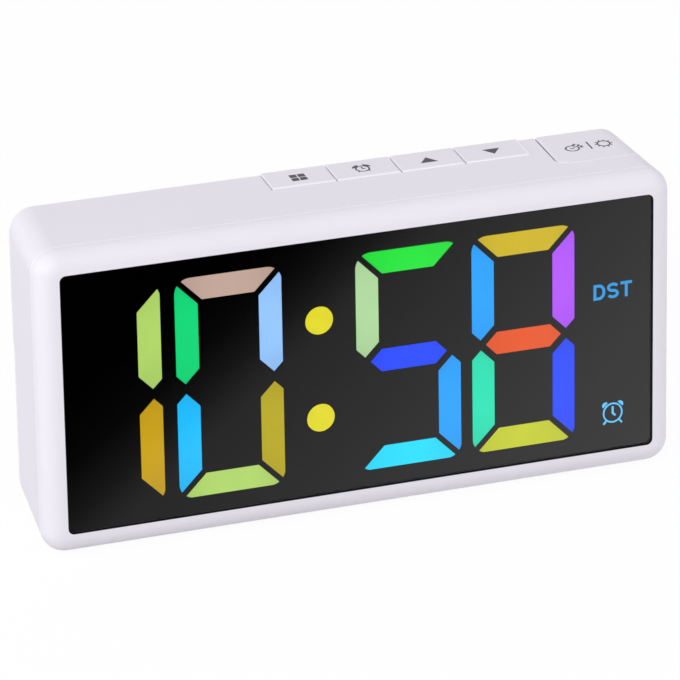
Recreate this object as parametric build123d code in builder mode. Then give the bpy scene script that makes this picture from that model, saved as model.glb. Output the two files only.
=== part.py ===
"""Desk clock: a leaning box with a lit seven-segment display and a row of keys on top.

Lengths are millimetres.  +Z is up, +Y runs to the back, and the origin is on the table
under the middle of the clock.  Depths are counted backwards from the lip round the screen,
square to the leaning face.
"""
import os
from math import atan2, cos, degrees, radians, sin, sqrt, tan

from build123d import *

os.makedirs("parts", exist_ok=True)

# Case
lean = 12
case_width = 165
case_height = 77.5
case_depth = 29
case_corner = 6
case_wall = 2
side_taper = 2
top_rise = 2.9
back_step = 1.3
back_step_drop = 35
back_bevel = 0.4
cut_overrun = 4
fit_gap = 0.15
part_gap = 0.3

# Front frame and the screen in it
bezel = 5.5
seam_depth = 5.5
edge_round = 5.1
seam_bevel = 0.25
screen_corner = 1.6
lip_depth = 1.7
tongue_length = 2.5
tongue_wall = 1.2

# Window, mask film, light block and display board
window_recess = 0.7
window_margin = 2.1
window_thickness = 2
film_thickness = 0.3
block_thickness = 6
block_margin = 0.75
board_thickness = 1.6
diffuser_thickness = 1.2
diffuser_gap = 0.1
led_length = 3.5
led_width = 2.8
led_height = 1.4

# Seven-segment digits
digit_margin = 4.7
stroke = 6.1
mitre_offset = 0.92
digit_corner = 4
point_inset = 2.4
point_offset = 1.15
bar_point_inset = 3.6
display_drop = 1.15
left_margin = 19.9
hour_gap = 3.5
middle_gap = 18.95
minute_gap = 2.85
right_margin = 19.9
colon_spread = 12.7
colon_diameter = 7.4
sign_inset = 9.65
daylight_y = 8.3
daylight_width = 12.4
daylight_height = 5.6
alarm_y = -24.3
alarm_size = 8.2

# Keys on the top and the bar at its corner
key_pitch = 17
key_row_gap = 5.2
key_gap = 0.35
key_depth = 8.8
key_proud = 0.25
key_wall = 1.5
key_skirt = 5
key_travel = 0.5
key_edge = 0.3
key_corner = 1.2
stem_width = 2.6
stem_inset = 7.25
stem_root = 0.3
hook_reach = 1
hook_thickness = 1
hook_web = 1
hook_gap = 0.1
bar_width = 25.1
bar_gap = 0.6
bar_depth = 16.5
bar_skirt = 6
bar_corner = 3
bar_edge = 0.4
bar_hook_width = 15
bar_stem_offset = 8.6

# Key board and its switches
switch_size = 4.5
switch_height = 3.4
plunger_width = 2.2
plunger_bore_gap = 0.06
plunger_proud = 1.25
plunger_sunk = 1.5
plunger_bore_depth = 2.3
stem_length = 2.5
key_board_overhang = 15
key_board_margin = 3.75
key_board_width = 12.6
key_board_inset = 4.9
key_board_thickness = 1.2
key_screw_reach = 4
boss_width = 4.2
pilot_diameter = 1.6
key_boss_inset = 3.4
key_boss_margin = 5

# Screws
screw_diameter = 1.6
screw_head_diameter = 3.6
screw_head_height = 1.3
screw_reach = 5
cross_width = 0.6
cross_depth = 0.5
case_screw_inset = 11.75
frame_boss_rear = 11.6
post_width = 5.4
screw_bore_diameter = 2.2
head_bore_diameter = 4.2
post_floor = 2
board_screw_inset = 3
board_screw_length = 4

# Coin cell, its well and its door in the back
cell_x = 0
cell_diameter = 20
cell_thickness = 3.2
cell_gap = 0.3
cell_rim = 15.6
cell_rim_height = 0.4
well_wall = 1.4
well_floor = 1.2
contact_thickness = 0.3
contact_spring = 0.7
contact_width = 4
contact_tail = 5
contact_length = 12
contact_gap = 0.2
battery_lead_thickness = 0.9
door_margin = 8.75
door_width = 28
door_height = 32
door_thickness = 1.4
door_corner = 2.5
door_gap = 0.2
door_seat = 0.1
door_rim = 2.5
door_rim_thickness = 1
door_tab_x = 8
door_tab_width = 5
door_tab_reach = 1
door_tab_thickness = 0.7
door_tab_gap = 0.2
door_tab_swing = 0.6
door_lip = 0.6
door_grip_count = 4
door_grip_width = 12
door_grip_height = 0.8
door_grip_pitch = 1.8
door_grip_depth = 0.4
door_grip_y = 11
finger_notch_width = 12
finger_notch_height = 2.5

# Buzzer, chips and leads on the back of the display board
buzzer_inset = 38.5
buzzer_y = -8
buzzer_diameter = 12
buzzer_height = 8.5
buzzer_port = 2.5
sound_slot_length = 9
sound_slot_width = 1.2
sound_slot_pitch = 2.6
sound_slot_count = 4
chip_x = -12
chip_y = 14
chip_length = 13
chip_width = 7.5
chip_height = 2.4
chip_pin_count = 10
chip_pin_pitch = 1.27
chip_pin_width = 0.4
chip_pin_reach = 1.4
chip_pin_thickness = 0.3
crystal_x = 6
crystal_y = 20
crystal_width = 2.4
crystal_height = 2
crystal_length = 6
capacitor_x = 40
capacitor_y = 6
capacitor_diameter = 6.3
capacitor_height = 7
capacitor_pitch = 9
ribbon_x = 27
ribbon_width = 10
ribbon_thickness = 0.6
ribbon_bend = 1.6
ribbon_drop = 17.75
ribbon_inset = 5.5
socket_inset = 30.5
socket_margin = 12.75
socket_width = 7.6
socket_height = 2.8
socket_length = 6
socket_wall = 0.3
socket_tongue = 0.7
power_board_width = 16
power_board_length = 11
rail_sink = 4.5
power_lead_rise = 7.4
power_lead_inset = 5
rail_wall = 1.2
rail_grip = 1.5
lead_width = 2.6
lead_thickness = 1.2
lead_bend = 2

# Ribs that press on the display board, and the feet
press_rib_inset = 19.5
press_rib_width = 1.6
press_rib_height = 34
foot_length = 12
foot_width = 8
foot_thickness = 1.1
foot_proud = 0.5
foot_side_inset = 14.5
foot_inset = 5.2

lean_sin = sin(radians(lean))
lean_cos = cos(radians(lean))
body_depth = case_depth - seam_depth
bottom_rise = body_depth * tan(radians(lean))
top_angle = degrees(atan2(top_rise, body_depth))
top_tilt = radians(lean - top_angle)
top_run = sqrt(body_depth**2 + top_rise**2)
front_reach = edge_round * (lean_cos - 1) - (case_height / 2 - edge_round) * lean_sin
back_reach = (case_depth + key_proud) * lean_cos + (case_height / 2 + top_rise + key_proud) * lean_sin
face_height = foot_proud + seam_depth * lean_sin + case_height / 2 * lean_cos

screen_width = case_width - 2 * bezel
screen_height = case_height - 2 * bezel
window_rear = window_recess + window_thickness
rebate_width = screen_width + 2 * (window_margin + fit_gap)
rebate_height = screen_height + 2 * (window_margin + fit_gap)
film_rear = window_rear + film_thickness
block_rear = film_rear + block_thickness
board_rear = block_rear + board_thickness
boss_x = rebate_width / 2 - boss_width / 2
block_width = 2 * (boss_x - boss_width / 2 - part_gap)
block_height = screen_height + 2 * block_margin
digit_height = screen_height - 2 * digit_margin
digit_space = screen_width - left_margin - stroke - hour_gap - middle_gap - minute_gap - right_margin
digit_width = digit_space / 3
hour_tens_x = -screen_width / 2 + left_margin + stroke - digit_width / 2
hour_x = hour_tens_x + digit_width + hour_gap
minute_x = hour_x + digit_width + middle_gap
minute_units_x = minute_x + digit_width + minute_gap
colon_x = (hour_x + minute_x) / 2
sign_x = screen_width / 2 - sign_inset
case_screw_y = case_height / 2 - case_screw_inset
board_screw_x = block_width / 2 - board_screw_inset
cell_y = -case_height / 2 + door_margin + door_height / 2
socket_y = -case_height / 2 + socket_margin
socket_x = case_width / 2 - socket_inset
buzzer_x = -case_width / 2 + buzzer_inset
press_rib_x = case_width / 2 - press_rib_inset
foot_x = case_width / 2 - foot_side_inset
back_panel = case_depth - back_step
cavity_rear = back_panel - case_wall
step_y = case_height / 2 + top_rise - back_step_drop

face = Plane(
    origin=(0, -(front_reach + back_reach) / 2, face_height),
    x_dir=(1, 0, 0),
    z_dir=(0, -lean_cos, lean_sin),
)
face_axis = Axis(face.origin, face.z_dir)
top = Plane(
    origin=face.from_local_coords((0, case_height / 2, -seam_depth)),
    x_dir=(1, 0, 0),
    z_dir=(0, sin(top_tilt), cos(top_tilt)),
)
top_axis = Axis(top.origin, top.z_dir)


side = Plane(origin=face.origin, x_dir=(0, lean_cos, -lean_sin), z_dir=(1, 0, 0))
plan = Plane(origin=face.origin, x_dir=(1, 0, 0), z_dir=(0, lean_sin, lean_cos))
stem_end = key_wall - key_proud + stem_length
switch_drop = stem_end + plunger_proud
key_board_drop = switch_drop + switch_height
key_front = top_run - key_depth
bar_front = top_run - bar_depth
key_names = ("mode", "alarm", "up", "down")
bar_left = case_width / 2 - bar_width
bar_stem_x = bar_left + bar_stem_offset
key_left = bar_left - key_row_gap - key_pitch * len(key_names)
stem_y = top_run - stem_inset
key_board_rear = top_run - key_board_inset
key_board_front = key_board_rear - key_board_width
key_board_left = key_left - key_board_overhang
key_board_right = bar_stem_x + switch_size / 2 + key_board_margin
key_boss_y = key_board_front + key_boss_inset
key_centres = [key_left + key_pitch * (index + 0.5) for index in range(len(key_names))]
switch_xs = key_centres + [bar_stem_x]
key_boss_xs = (key_board_left + key_boss_margin, key_left + key_pitch * len(key_names))
door_rear = back_panel
door_front = door_rear - door_thickness
cell_rear = door_front - door_seat
cell_front = cell_rear - cell_thickness
well_bottom = cell_front - contact_spring
well_front = well_bottom - well_floor
well_diameter = cell_diameter + 2 * cell_gap
power_board_top = socket_y - socket_height / 2
power_board_rear = cavity_rear - part_gap
power_lead_depth = power_board_rear - power_lead_inset
rail_foot = case_height / 2 - rail_sink
head_seat = frame_boss_rear + post_floor
bottom_plane = Plane(
    origin=face.from_local_coords((0, -case_height / 2, -seam_depth)), x_dir=(1, 0, 0), z_dir=(0, 0, 1)
)
bottom_run = body_depth / lean_cos


def layer(depth):
    """Plane parallel to the face, at a depth behind the lip."""
    return face.offset(-depth)


def write(part, name):
    """Label a finished piece and write its file."""
    part.label = name
    export_step(part, f"parts/{name}.step")


# Shapes that several pieces share


def case_block(front, rear, inset=0):
    """Solid of the housing's tapering form between two depths, drawn in by a wall."""
    shares = [(depth - seam_depth) / body_depth for depth in (front, rear)]
    lows = [-case_height / 2 + bottom_rise * share + inset for share in shares]
    highs = [case_height / 2 + top_rise * share - inset for share in shares]
    halves = [case_width / 2 - side_taper * share - inset for share in shares]
    with BuildPart(mode=Mode.PRIVATE) as block:
        with BuildSketch(side):
            Polygon((front, lows[0]), (rear, lows[1]), (rear, highs[1]), (front, highs[0]), align=None)
        extrude(amount=case_width / 2, both=True)
        with BuildSketch(plan):
            Polygon(
                (-halves[0], front), (halves[0], front), (halves[1], rear), (-halves[1], rear), align=None
            )
        extrude(amount=case_height, both=True, mode=Mode.INTERSECT)
        fillet(block.edges().group_by(face_axis)[1], case_corner - inset)
    return block.part


def end_segment(side):
    """Top (1) or bottom (-1) segment: a trapezium with mitred tips."""
    half, edge = digit_width / 2 - mitre_offset, side * digit_height / 2
    inner = edge - side * stroke
    with BuildSketch(mode=Mode.PRIVATE) as shape:
        Polygon((-half, edge), (half, edge), (half - stroke, inner), (stroke - half, inner), align=None)
    return shape.sketch


def side_segment(across, up):
    """Upright segment on the left (-1) or right (1), above (1) or below (-1) the middle."""
    outer, end = across * digit_width / 2, up * (digit_height / 2 - mitre_offset)
    inner, point = outer - across * stroke, outer - across * point_inset
    with BuildSketch(mode=Mode.PRIVATE) as shape:
        Polygon(
            (outer, end),
            (inner, end - up * stroke),
            (inner, up * (point_offset + stroke - point_inset)),
            (point, up * point_offset),
            (outer, up * (point_offset + point_inset)),
            align=None,
        )
    return shape.sketch


def middle_segment():
    """Hexagonal bar across the middle of a digit."""
    tip, shoulder = digit_width / 2 - bar_point_inset, digit_width / 2 - bar_point_inset - stroke / 2
    with BuildSketch(mode=Mode.PRIVATE) as shape:
        Polygon(
            (-tip, 0),
            (-shoulder, stroke / 2),
            (shoulder, stroke / 2),
            (tip, 0),
            (shoulder, -stroke / 2),
            (-shoulder, -stroke / 2),
            align=None,
        )
    return shape.sketch


def segment(letter):
    """One segment of a digit by its usual letter."""
    shapes = {
        "a": lambda: end_segment(1),
        "b": lambda: side_segment(1, 1),
        "c": lambda: side_segment(1, -1),
        "d": lambda: end_segment(-1),
        "e": lambda: side_segment(-1, -1),
        "f": lambda: side_segment(-1, 1),
        "g": middle_segment,
    }
    return shapes[letter]()


digits = {
    "hour_tens": (hour_tens_x, "bc", ""),
    "hour_units": (hour_x, "abcdef", "g"),
    "minute_tens": (minute_x, "acdfg", "be"),
    "minute_units": (minute_units_x, "abcdefg", ""),
}


def add_segments(x, letters, corner=0):
    """Add a digit's named segments to the open sketch, rounded at the digit's corners."""
    with Locations((x, -display_drop)):
        for letter in letters:
            with BuildSketch(mode=Mode.PRIVATE) as shape:
                add(segment(letter))
                if corner:
                    RectangleRounded(digit_width, digit_height, corner, mode=Mode.INTERSECT)
            add(shape.sketch)


def add_colon():
    """Add the two round dots between hours and minutes."""
    with Locations((colon_x, colon_spread - display_drop), (colon_x, -colon_spread - display_drop)):
        Circle(colon_diameter / 2)


def add_windows(corner=0):
    """Add every lit shape of the display to the open sketch."""
    for x, lit, unlit in digits.values():
        add_segments(x, lit + unlit, corner)
    add_colon()
    with Locations((sign_x, daylight_y)):
        Rectangle(daylight_width, daylight_height)
    with Locations((sign_x, alarm_y)):
        Rectangle(alarm_size, alarm_size)


def pan_screw(shank_top):
    """Pan-head screw on the open workplanes' Z: head on the plane, shank below it."""
    with BuildPart(mode=Mode.PRIVATE) as screw:
        Cylinder(screw_head_diameter / 2, screw_head_height, align=(Align.CENTER, Align.CENTER, Align.MIN))
        with BuildSketch(Plane.XY.offset(screw_head_height)):
            Rectangle(screw_head_diameter / 2, cross_width)
            Rectangle(cross_width, screw_head_diameter / 2)
        extrude(amount=-cross_depth, mode=Mode.SUBTRACT)
        Cylinder(screw_diameter / 2, shank_top, align=(Align.CENTER, Align.CENTER, Align.MAX))
    return screw.part


# Front frame: rounded bezel, rebate for the window, tongue and screw bosses
with BuildPart() as front_frame:
    with BuildSketch(face):
        RectangleRounded(case_width, case_height, case_corner)
    extrude(amount=-seam_depth)
    fillet(front_frame.faces().sort_by(face_axis)[-1].outer_wire().edges(), edge_round)
    chamfer(front_frame.faces().sort_by(face_axis)[0].outer_wire().edges(), seam_bevel)
    add(case_block(seam_depth, seam_depth + tongue_length, case_wall + fit_gap))
    with BuildSketch(face):
        RectangleRounded(screen_width, screen_height, screen_corner)
    extrude(amount=-seam_depth, mode=Mode.SUBTRACT)
    with BuildSketch(layer(lip_depth)):
        RectangleRounded(rebate_width, rebate_height, screen_corner + window_margin)
    extrude(amount=-(seam_depth - lip_depth), mode=Mode.SUBTRACT)
    add(
        case_block(seam_depth, seam_depth + tongue_length, case_wall + fit_gap + tongue_wall),
        mode=Mode.SUBTRACT,
    )
    with BuildSketch(layer(window_rear + fit_gap)):
        with GridLocations(2 * (boss_x + fit_gap), 2 * case_screw_y, 2, 2):
            Rectangle(boss_width + 2 * fit_gap, boss_width)
    extrude(amount=-(frame_boss_rear - window_rear - fit_gap))
    with BuildSketch(layer(frame_boss_rear)):
        with GridLocations(2 * boss_x, 2 * case_screw_y, 2, 2):
            Circle(pilot_diameter / 2)
    extrude(amount=screw_reach + part_gap, mode=Mode.SUBTRACT)
write(front_frame.part, "front_frame")

# Window: a raised pane in the bezel and a flange behind its lip
with BuildPart() as display_window:
    with BuildSketch(layer(lip_depth)):
        RectangleRounded(
            rebate_width - 2 * fit_gap,
            rebate_height - 2 * fit_gap,
            screen_corner + window_margin - fit_gap,
        )
    extrude(amount=-(window_rear - lip_depth))
    with BuildSketch(layer(lip_depth)):
        RectangleRounded(
            screen_width - fit_gap, screen_height - fit_gap, screen_corner - fit_gap / 2
        )
    extrude(amount=lip_depth - window_recess)
write(display_window.part, "display_window")

# Mask film: black, with a clear window for each lit shape
with BuildPart() as mask_film:
    with BuildSketch(layer(window_rear)):
        RectangleRounded(block_width, block_height, screen_corner)
    extrude(amount=-film_thickness)
    with BuildSketch(layer(window_rear)):
        add_windows(digit_corner)
    extrude(amount=-film_thickness, mode=Mode.SUBTRACT)
write(mask_film.part, "mask_film")

# Light block: one well for each lit shape, and two screw holes
with BuildPart() as light_block:
    with BuildSketch(layer(film_rear)):
        RectangleRounded(block_width, block_height, screen_corner)
    extrude(amount=-block_thickness)
    with BuildSketch(layer(film_rear)):
        add_windows()
    extrude(amount=-block_thickness, mode=Mode.SUBTRACT)
    with BuildSketch(layer(block_rear)):
        with GridLocations(2 * board_screw_x, block_height, 2, 1):
            Circle(pilot_diameter / 2)
    extrude(amount=board_screw_length, mode=Mode.SUBTRACT)
write(light_block.part, "light_block")

# Diffusers that fill the mouths of the wells
for name, (x, lit, unlit) in digits.items():
    with BuildPart() as diffusers:
        with BuildSketch(layer(film_rear)):
            add_segments(x, lit)
            offset(amount=-diffuser_gap)
        extrude(amount=-diffuser_thickness)
    write(diffusers.part, f"{name}_segments")
with BuildPart() as unlit_segments:
    with BuildSketch(layer(film_rear)):
        for x, lit, unlit in digits.values():
            add_segments(x, unlit)
        offset(amount=-diffuser_gap)
    extrude(amount=-diffuser_thickness)
write(unlit_segments.part, "unlit_segments")
with BuildPart() as colon_dots:
    with BuildSketch(layer(film_rear)):
        add_colon()
        offset(amount=-diffuser_gap)
    extrude(amount=-diffuser_thickness)
write(colon_dots.part, "colon_dots")
with BuildPart() as daylight_indicator:
    with BuildSketch(layer(film_rear)):
        with Locations((sign_x, daylight_y)):
            Rectangle(daylight_width - 2 * diffuser_gap, daylight_height - 2 * diffuser_gap)
    extrude(amount=-diffuser_thickness)
write(daylight_indicator.part, "daylight_indicator")
with BuildPart() as alarm_indicator:
    with BuildSketch(layer(film_rear)):
        with Locations((sign_x, alarm_y)):
            Rectangle(alarm_size - 2 * diffuser_gap, alarm_size - 2 * diffuser_gap)
    extrude(amount=-diffuser_thickness)
write(alarm_indicator.part, "alarm_indicator")

# Display board with an LED behind each lit shape
with BuildPart() as display_board:
    with BuildSketch(layer(block_rear)):
        RectangleRounded(block_width, block_height, screen_corner)
        with GridLocations(2 * board_screw_x, block_height, 2, 1):
            Circle(screw_bore_diameter / 2, mode=Mode.SUBTRACT)
    extrude(amount=-board_thickness)
write(display_board.part, "display_board")

segment_centres = {
    "a": (0, (digit_height - stroke) / 2),
    "b": ((digit_width - stroke) / 2, digit_height / 4),
    "c": ((digit_width - stroke) / 2, -digit_height / 4),
    "d": (0, -(digit_height - stroke) / 2),
    "e": (-(digit_width - stroke) / 2, -digit_height / 4),
    "f": (-(digit_width - stroke) / 2, digit_height / 4),
    "g": (0, 0),
}
led_places = [
    (x + segment_centres[letter][0], segment_centres[letter][1] - display_drop)
    for x, lit, unlit in digits.values()
    for letter in lit + unlit
]
led_places += [(colon_x, side * colon_spread - display_drop) for side in (-1, 1)]
led_places += [(sign_x, daylight_y), (sign_x, alarm_y)]
with BuildPart() as segment_leds:
    with BuildSketch(layer(block_rear)):
        with Locations(*led_places):
            Rectangle(led_width, led_length)
    extrude(amount=led_height)
write(segment_leds.part, "segment_leds")

with BuildPart() as board_screws:
    with Locations(layer(board_rear)):
        with GridLocations(2 * board_screw_x, block_height, 2, 1):
            with Locations(Rotation(180, 0, 0)):
                add(pan_screw(board_screw_length))
write(board_screws.part, "board_screws")


# Shapes in the side view, given as depth and height


def on_top(along, drop):
    """Point some way back along the top surface and some way square below it."""
    slope = radians(top_angle)
    return (
        seam_depth + along * cos(slope) + drop * sin(slope),
        case_height / 2 + along * sin(slope) - drop * cos(slope),
    )


def under_top(depth, drop):
    """Point at a depth, on the line that runs parallel below the top surface."""
    slope = radians(top_angle)
    return (depth, case_height / 2 + (depth - seam_depth) * tan(slope) - drop / cos(slope))


def bent_strip(starts, corner, end, thickness, bend, rise):
    """Sketch a strip that leaves a board above (1) or below (-1), bends and runs forward."""
    half, lift = thickness / 2, rise * thickness / 2
    with BuildSketch(mode=Mode.PRIVATE) as strip:
        Polygon(
            (corner[0] - half, starts[0]),
            (corner[0] + half, starts[1]),
            (corner[0] + half, corner[1] - lift),
            (end, corner[1] - lift),
            (end, corner[1] + lift),
            (corner[0] - half, corner[1] + lift),
            align=None,
        )
        fillet(strip.vertices().sort_by_distance((corner[0] + half, corner[1] - lift))[0], bend + thickness)
        fillet(strip.vertices().sort_by_distance((corner[0] - half, corner[1] + lift))[0], bend)
    return strip.sketch


def bar_outline(grow, corner):
    """Outline of the corner bar on the top surface, grown on its front and left."""
    with BuildSketch(mode=Mode.PRIVATE) as outline:
        with Locations((bar_left - grow[0], bar_front - grow[1])):
            Rectangle(case_width / 2, case_depth, align=(Align.MIN, Align.MIN))
        fillet(outline.vertices().sort_by_distance((bar_left, bar_front))[0], corner)
    return outline.sketch


# Rear housing
with BuildPart() as rear_housing:
    add(case_block(seam_depth, case_depth))
    chamfer(rear_housing.faces().sort_by(face_axis)[0].outer_wire().edges(), back_bevel)
    chamfer(rear_housing.faces().sort_by(face_axis)[-1].outer_wire().edges(), seam_bevel)
    add(case_block(seam_depth, cavity_rear, case_wall), mode=Mode.SUBTRACT)
    # Lower back set in, with a sloping step
    with BuildSketch(side):
        Polygon(
            (back_panel, step_y),
            (case_depth + cut_overrun, step_y + case_depth - back_panel + cut_overrun),
            (case_depth + cut_overrun, -case_height),
            (back_panel, -case_height),
            align=None,
        )
    extrude(amount=case_width, both=True, mode=Mode.SUBTRACT)
    # Screw posts, ribs behind the display board, rim round the door and the cell's well
    with BuildSketch(layer(frame_boss_rear)):
        with GridLocations(2 * boss_x, 2 * case_screw_y, 2, 2):
            Rectangle(post_width, post_width)
    extrude(amount=-(cavity_rear - frame_boss_rear + part_gap))
    with BuildSketch(layer(board_rear)):
        with GridLocations(2 * press_rib_x, case_height, 2, 1):
            Rectangle(press_rib_width, press_rib_height)
    extrude(amount=-(cavity_rear - board_rear + part_gap))
    with BuildSketch(layer(cavity_rear - door_rim_thickness)):
        with Locations((cell_x, cell_y)):
            RectangleRounded(door_width + 2 * door_rim, door_height + 2 * door_rim, door_corner)
    extrude(amount=-(door_rim_thickness + part_gap))
    with BuildSketch(layer(well_front)):
        with Locations((cell_x, cell_y)):
            Circle(well_diameter / 2 + well_wall)
    extrude(amount=-(cavity_rear - well_front))
    # Rails that hold the power board
    with BuildSketch(layer(power_board_rear - power_board_length)):
        for hand in (-1, 1):
            with Locations((socket_x + hand * (power_board_width / 2 + (rail_wall - rail_grip) / 2), -rail_foot)):
                Rectangle(
                    rail_wall + rail_grip,
                    power_board_top + rail_wall + rail_foot,
                    align=(Align.CENTER, Align.MIN),
                )
    extrude(amount=-(power_board_length + 2 * part_gap))
    with BuildSketch(layer(power_board_rear - power_board_length)):
        with Locations((socket_x, power_board_top - board_thickness / 2)):
            Rectangle(power_board_width + 2 * fit_gap, board_thickness + 2 * fit_gap)
    extrude(amount=-(power_board_length + part_gap), mode=Mode.SUBTRACT)
    # Bosses under the top wall for the key board
    with BuildSketch(top.offset(-key_board_drop)):
        with Locations(*[(x, key_boss_y) for x in key_boss_xs]):
            Rectangle(boss_width, boss_width)
    extrude(amount=key_board_drop - case_wall / 2)
    with BuildSketch(top.offset(-key_board_drop)):
        with Locations(*[(x, key_boss_y) for x in key_boss_xs]):
            Circle(pilot_diameter / 2)
    extrude(amount=key_screw_reach + part_gap, mode=Mode.SUBTRACT)
    # Notch for the four keys, over the back edge and down the back
    with BuildSketch(side.offset(key_left - key_gap / 2)):
        notch_front, skirt_front = key_front - key_gap, case_depth + key_proud - key_wall - part_gap
        rib_drop, foot = key_wall - key_proud + key_travel + fit_gap, on_top(top_run, 0)[1] - key_skirt
        Polygon(
            on_top(notch_front, -cut_overrun),
            under_top(case_depth + cut_overrun, -cut_overrun),
            (case_depth + cut_overrun, foot - key_travel - key_gap),
            (skirt_front, foot - key_travel - key_gap),
            under_top(skirt_front, rib_drop),
            under_top(cavity_rear, rib_drop),
            under_top(cavity_rear, case_wall + hook_thickness),
            on_top(notch_front, case_wall + hook_thickness),
            align=None,
        )
    extrude(amount=key_pitch * len(key_names) + key_gap, mode=Mode.SUBTRACT)
    # Notch for the corner bar
    with BuildSketch(top.offset(-(bar_skirt + key_travel + key_gap))):
        add(bar_outline((bar_gap, key_gap), bar_corner + key_gap))
    extrude(amount=bar_skirt + key_travel + key_gap + cut_overrun, mode=Mode.SUBTRACT)
    # Holes for the case screws
    with BuildSketch(layer(frame_boss_rear)):
        with GridLocations(2 * boss_x, 2 * case_screw_y, 2, 2):
            Circle(screw_bore_diameter / 2)
    extrude(amount=-post_floor, mode=Mode.SUBTRACT)
    with BuildSketch(layer(head_seat)):
        with GridLocations(2 * boss_x, 2 * case_screw_y, 2, 2):
            Circle(head_bore_diameter / 2)
    extrude(amount=-(case_depth - head_seat), mode=Mode.SUBTRACT)
    # Recess for the door, slots for its tabs, a finger notch, the cell's well
    with BuildSketch(layer(door_front - door_seat)):
        with Locations((cell_x, cell_y)):
            RectangleRounded(door_width + 2 * door_gap, door_height + 2 * door_gap, door_corner + door_gap)
    extrude(amount=-(door_thickness + door_seat), mode=Mode.SUBTRACT)
    with BuildSketch(layer(door_front - door_tab_swing)):
        for hand in (-1, 1):
            with Locations((cell_x + hand * door_tab_x, cell_y - door_height / 2)):
                Rectangle(
                    door_tab_width + 2 * door_tab_gap,
                    2 * (door_tab_reach + 2 * door_tab_gap),
                )
    extrude(amount=-(door_thickness + door_tab_swing - door_lip), mode=Mode.SUBTRACT)
    with BuildSketch(layer(door_front)):
        with Locations((cell_x, cell_y + door_height / 2)):
            Ellipse(finger_notch_width / 2, finger_notch_height)
    extrude(amount=-door_thickness, mode=Mode.SUBTRACT)
    with BuildSketch(layer(well_bottom)):
        with Locations((cell_x, cell_y)):
            Circle(well_diameter / 2)
        with Locations((cell_x, cell_y + cell_diameter / 2)):
            Rectangle(contact_width + 2 * contact_gap, 2 * (contact_thickness + contact_gap))
    extrude(amount=-(cell_rear - well_bottom + door_seat), mode=Mode.SUBTRACT)
    with BuildSketch(layer(well_front)):
        with Locations(
            (cell_x, cell_y + (cell_diameter + contact_thickness) / 2),
            (cell_x, cell_y - contact_length / 2 + contact_thickness / 2),
        ):
            Rectangle(contact_width + 2 * contact_gap, contact_thickness + 2 * contact_gap)
    extrude(amount=-well_floor, mode=Mode.SUBTRACT)
    # Power opening and sound slots
    with BuildSketch(layer(cavity_rear)):
        with Locations((socket_x, socket_y)):
            RectangleRounded(socket_width + 2 * part_gap, socket_height + 2 * part_gap, socket_height / 4)
    extrude(amount=-case_wall, mode=Mode.SUBTRACT)
    with BuildSketch(layer(cavity_rear)):
        with Locations((buzzer_x, buzzer_y)):
            with GridLocations(sound_slot_length, sound_slot_pitch, 1, sound_slot_count):
                Rectangle(sound_slot_length, sound_slot_width)
    extrude(amount=-case_wall, mode=Mode.SUBTRACT)
    # Wells for the feet
    with BuildSketch(bottom_plane):
        for y in (foot_inset, bottom_run - foot_inset):
            with Locations((-foot_x, y), (foot_x, y)):
                Rectangle(foot_length + 2 * fit_gap, foot_width + 2 * fit_gap)
    extrude(amount=foot_thickness - foot_proud, mode=Mode.SUBTRACT)
write(rear_housing.part, "rear_housing")

# Keys: a plate on the top, a skirt down the back, a hook under the wall and a stem
for name, centre in zip(key_names, key_centres):
    with BuildPart() as key:
        with BuildSketch(side.offset(centre - (key_pitch - key_gap) / 2)):
            hook_drop, foot = case_wall + hook_gap, on_top(top_run, 0)[1] - key_skirt
            Polygon(
                on_top(key_front, -key_proud),
                under_top(case_depth + key_proud, -key_proud),
                (case_depth + key_proud, foot),
                (case_depth + key_proud - key_wall, foot),
                under_top(case_depth + key_proud - key_wall, key_wall - key_proud),
                on_top(key_front + hook_web, key_wall - key_proud),
                on_top(key_front + hook_web, hook_drop + hook_thickness),
                on_top(key_front - hook_reach, hook_drop + hook_thickness),
                on_top(key_front - hook_reach, hook_drop),
                on_top(key_front, hook_drop),
                align=None,
            )
        extrude(amount=key_pitch - key_gap)
        fillet(key.faces().sort_by(top_axis)[-1].edges(), key_edge)
        with BuildSketch(top.offset(-stem_end)):
            with Locations((centre, stem_y)):
                Rectangle(stem_width, stem_width)
        extrude(amount=stem_length + stem_root)
    write(key.part, f"{name}_key")

# Corner bar: a shell over the corner with a hook under the wall and a stem
with BuildPart() as snooze_bar:
    add(case_block(seam_depth, case_depth))
    add(case_block(seam_depth, case_depth - key_wall, key_wall), mode=Mode.SUBTRACT)
    with BuildSketch(top.offset(-bar_skirt)):
        add(bar_outline((0, 0), bar_corner))
    extrude(amount=bar_skirt + cut_overrun, mode=Mode.INTERSECT)
    rim = snooze_bar.faces().sort_by(top_axis)[-1].edges()
    rim = rim.filter_by(lambda edge: edge.center().X < bar_left + bar_corner or edge.center().Y < 0)
    chamfer(rim, bar_edge)
    with BuildSketch(top.offset(-(case_wall + hook_gap + hook_thickness))):
        with Locations((bar_left + bar_corner, bar_front - hook_reach)):
            Rectangle(bar_hook_width, hook_reach + hook_web, align=(Align.MIN, Align.MIN))
    extrude(amount=hook_thickness)
    with BuildSketch(top.offset(-(case_wall + hook_gap))):
        with Locations((bar_left + bar_corner, bar_front)):
            Rectangle(bar_hook_width, hook_web, align=(Align.MIN, Align.MIN))
    extrude(amount=case_wall + hook_gap - key_wall + stem_root)
    with BuildSketch(top.offset(-stem_end)):
        with Locations((bar_stem_x, stem_y)):
            Rectangle(stem_width, stem_width)
    extrude(amount=stem_end - key_wall + stem_root)
write(snooze_bar.part, "snooze_bar")

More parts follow.
